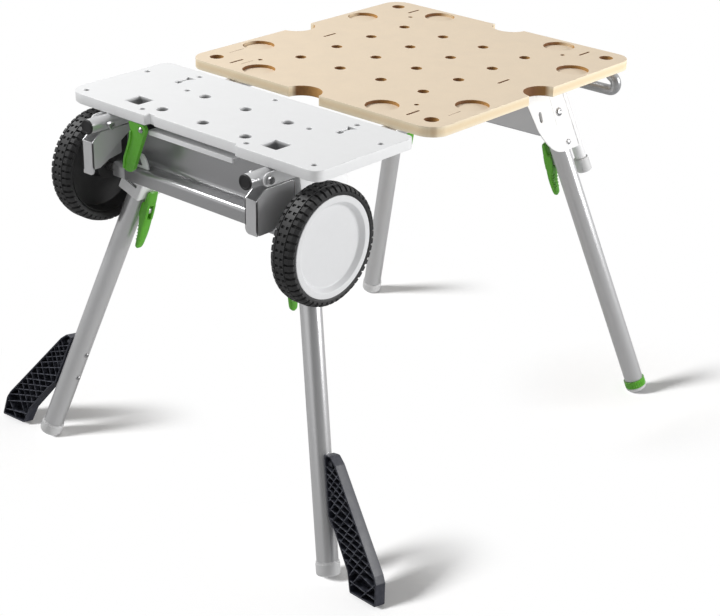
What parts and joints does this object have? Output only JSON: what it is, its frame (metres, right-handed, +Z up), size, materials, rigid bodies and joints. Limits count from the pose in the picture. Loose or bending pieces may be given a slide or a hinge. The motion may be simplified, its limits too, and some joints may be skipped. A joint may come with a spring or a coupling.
{
  "type": "saw stand",
  "caption": "Folding wheeled work stand: perforated board and machine plate on two rails, four splayed folding legs, two wheels and a pull handle",
  "frame": {"origin": "on the floor under the middle of the bounding box", "axes": "+X along the rails toward the pull handle, +Z up, +Y across the stand to the left of someone who faces +X"},
  "size_m": [0.9496, 0.9366, 0.6689],
  "materials": {
    "board_wood": "satin fibreboard",
    "light_metal": "light grey satin",
    "grey_metal": "mid grey satin",
    "slate_plastic": "moulded, satin",
    "black_rubber": "matte moulded",
    "black_plastic": "matte",
    "pale_plastic": "moulded, satin",
    "green_plastic": "moulded, semi-gloss",
    "steel": "zinc plated"
  },
  "bodies": {
    "frame": {"hole_board": "board_wood", "machine_plate": "light_metal", "rail_left": "light_metal", "rail_right": "light_metal", "rail_bolt_left": "steel", "rail_bolt_right": "steel", "rail_plug_left": "black_plastic", "rail_plug_right": "black_plastic", "rail_strap_left": "light_metal", "rail_strap_right": "light_metal", "front_beam": "grey_metal", "plate_ledge": "light_metal", "wheel_bracket_left": "light_metal", "wheel_bracket_right": "light_metal", "axle": "steel", "rear_beam": "grey_metal", "side_brace_left": "grey_metal", "side_brace_right": "grey_metal", "latch_bolt": "steel", "latch_bush": "black_plastic", "latch_keeper": "light_metal", "leg_bracket_wheel_left": "light_metal", "pivot_pin_wheel_left": "steel", "leg_bracket_wheel_right": "light_metal", "pivot_pin_wheel_right": "steel", "leg_bracket_handle_left": "light_metal", "pivot_pin_handle_left": "steel", "lock_bolt_handle_left": "steel", "parking_post_handle_left": "light_metal", "parking_cap_handle_left": "pale_plastic", "leg_bracket_handle_right": "light_metal", "pivot_pin_handle_right": "steel", "lock_bolt_handle_right": "steel", "parking_post_handle_right": "light_metal", "parking_cap_handle_right": "pale_plastic"},
    "leg_wheel_left": {"leg_tube_wheel_left": "light_metal", "foot_wheel_left": "pale_plastic", "skid_wheel_left": "slate_plastic", "skid_screw_wheel_left_high": "steel", "skid_screw_wheel_left_low": "steel"},
    "lever_wheel_left": {"leg_lever_wheel_left": "green_plastic"},
    "leg_wheel_right": {"leg_tube_wheel_right": "light_metal", "foot_wheel_right": "pale_plastic", "skid_wheel_right": "slate_plastic", "skid_screw_wheel_right_high": "steel", "skid_screw_wheel_right_low": "steel"},
    "lever_wheel_right": {"leg_lever_wheel_right": "green_plastic"},
    "leg_handle_left": {"leg_tube_handle_left": "light_metal", "foot_handle_left": "pale_plastic"},
    "lever_handle_left": {"leg_lever_handle_left": "green_plastic"},
    "leg_handle_right": {"leg_tube_handle_right": "light_metal", "foot_handle_right": "pale_plastic"},
    "lever_handle_right": {"leg_lever_handle_right": "green_plastic"},
    "levelling_ring": {"levelling_ring": "green_plastic"},
    "wheel_left": {"wheel_left": "black_rubber", "wheel_cap_left": "pale_plastic"},
    "wheel_right": {"wheel_right": "black_rubber", "wheel_cap_right": "pale_plastic"},
    "handle": {"pull_handle": "grey_metal"},
    "latch": {"latch_lever": "green_plastic"}
  },
  "joints": [
    {"name": "fold_wheel_left", "type": "hinge", "parent": "frame", "child": "leg_wheel_left", "pos_m": [-0.34045, 0.18881, 0.52292], "axis": [0, -0.9543, -0.2987], "range_deg": [0, 101]},
    {"name": "squeeze_wheel_left", "type": "hinge", "parent": "leg_wheel_left", "child": "lever_wheel_left", "pos_m": [-0.35204, 0.17589, 0.46209], "axis": [0.9779, 0.0625, -0.1997], "range_deg": [0, 5.5], "stiffness_Nm_per_rad": 2, "springref_deg": -5.73},
    {"name": "fold_wheel_right", "type": "hinge", "parent": "frame", "child": "leg_wheel_right", "pos_m": [-0.34045, -0.18881, 0.52292], "axis": [0, -0.9543, 0.2987], "range_deg": [0, 101]},
    {"name": "squeeze_wheel_right", "type": "hinge", "parent": "leg_wheel_right", "child": "lever_wheel_right", "pos_m": [-0.35204, -0.17589, 0.46209], "axis": [-0.9779, 0.0625, 0.1997], "range_deg": [0, 5.5], "stiffness_Nm_per_rad": 2, "springref_deg": -5.73},
    {"name": "fold_handle_left", "type": "hinge", "parent": "frame", "child": "leg_handle_left", "pos_m": [0.3251, 0.1766, 0.56192], "axis": [0, 0.9543, 0.2987], "range_deg": [0, 101]},
    {"name": "squeeze_handle_left", "type": "hinge", "parent": "leg_handle_left", "child": "lever_handle_left", "pos_m": [0.34374, 0.17546, 0.46347], "axis": [0.9807, -0.0583, 0.1864], "range_deg": [0, 5.5], "stiffness_Nm_per_rad": 2, "springref_deg": -5.73},
    {"name": "fold_handle_right", "type": "hinge", "parent": "frame", "child": "leg_handle_right", "pos_m": [0.3251, -0.1766, 0.56192], "axis": [0, 0.9543, -0.2987], "range_deg": [0, 101]},
    {"name": "squeeze_handle_right", "type": "hinge", "parent": "leg_handle_right", "child": "lever_handle_right", "pos_m": [0.34374, -0.17546, 0.46347], "axis": [-0.9807, -0.0583, -0.1864], "range_deg": [0, 5.5], "stiffness_Nm_per_rad": 2, "springref_deg": -5.73},
    {"name": "level_foot", "type": "hinge", "parent": "leg_handle_right", "child": "levelling_ring", "pos_m": [0.3251, -0.1766, 0.56192], "axis": [-0.1953, 0.293, 0.936], "range_deg": [-180, 180]},
    {"name": "roll_left", "type": "hinge", "parent": "frame", "child": "wheel_left", "pos_m": [-0.3757, 0.25915, 0.53212], "axis": [0, 1, 0], "continuous": true},
    {"name": "roll_right", "type": "hinge", "parent": "frame", "child": "wheel_right", "pos_m": [-0.3757, -0.25915, 0.53212], "axis": [0, 1, 0], "continuous": true},
    {"name": "handle_pull", "type": "slide", "parent": "frame", "child": "handle", "axis": [1, 0, 0], "range_m": [0, 0.24]},
    {"name": "latch_swing", "type": "hinge", "parent": "frame", "child": "latch", "pos_m": [-0.4177, 0.1035, 0.64042], "axis": [-1, 0, 0], "range_deg": [0, 60]}
  ]
}
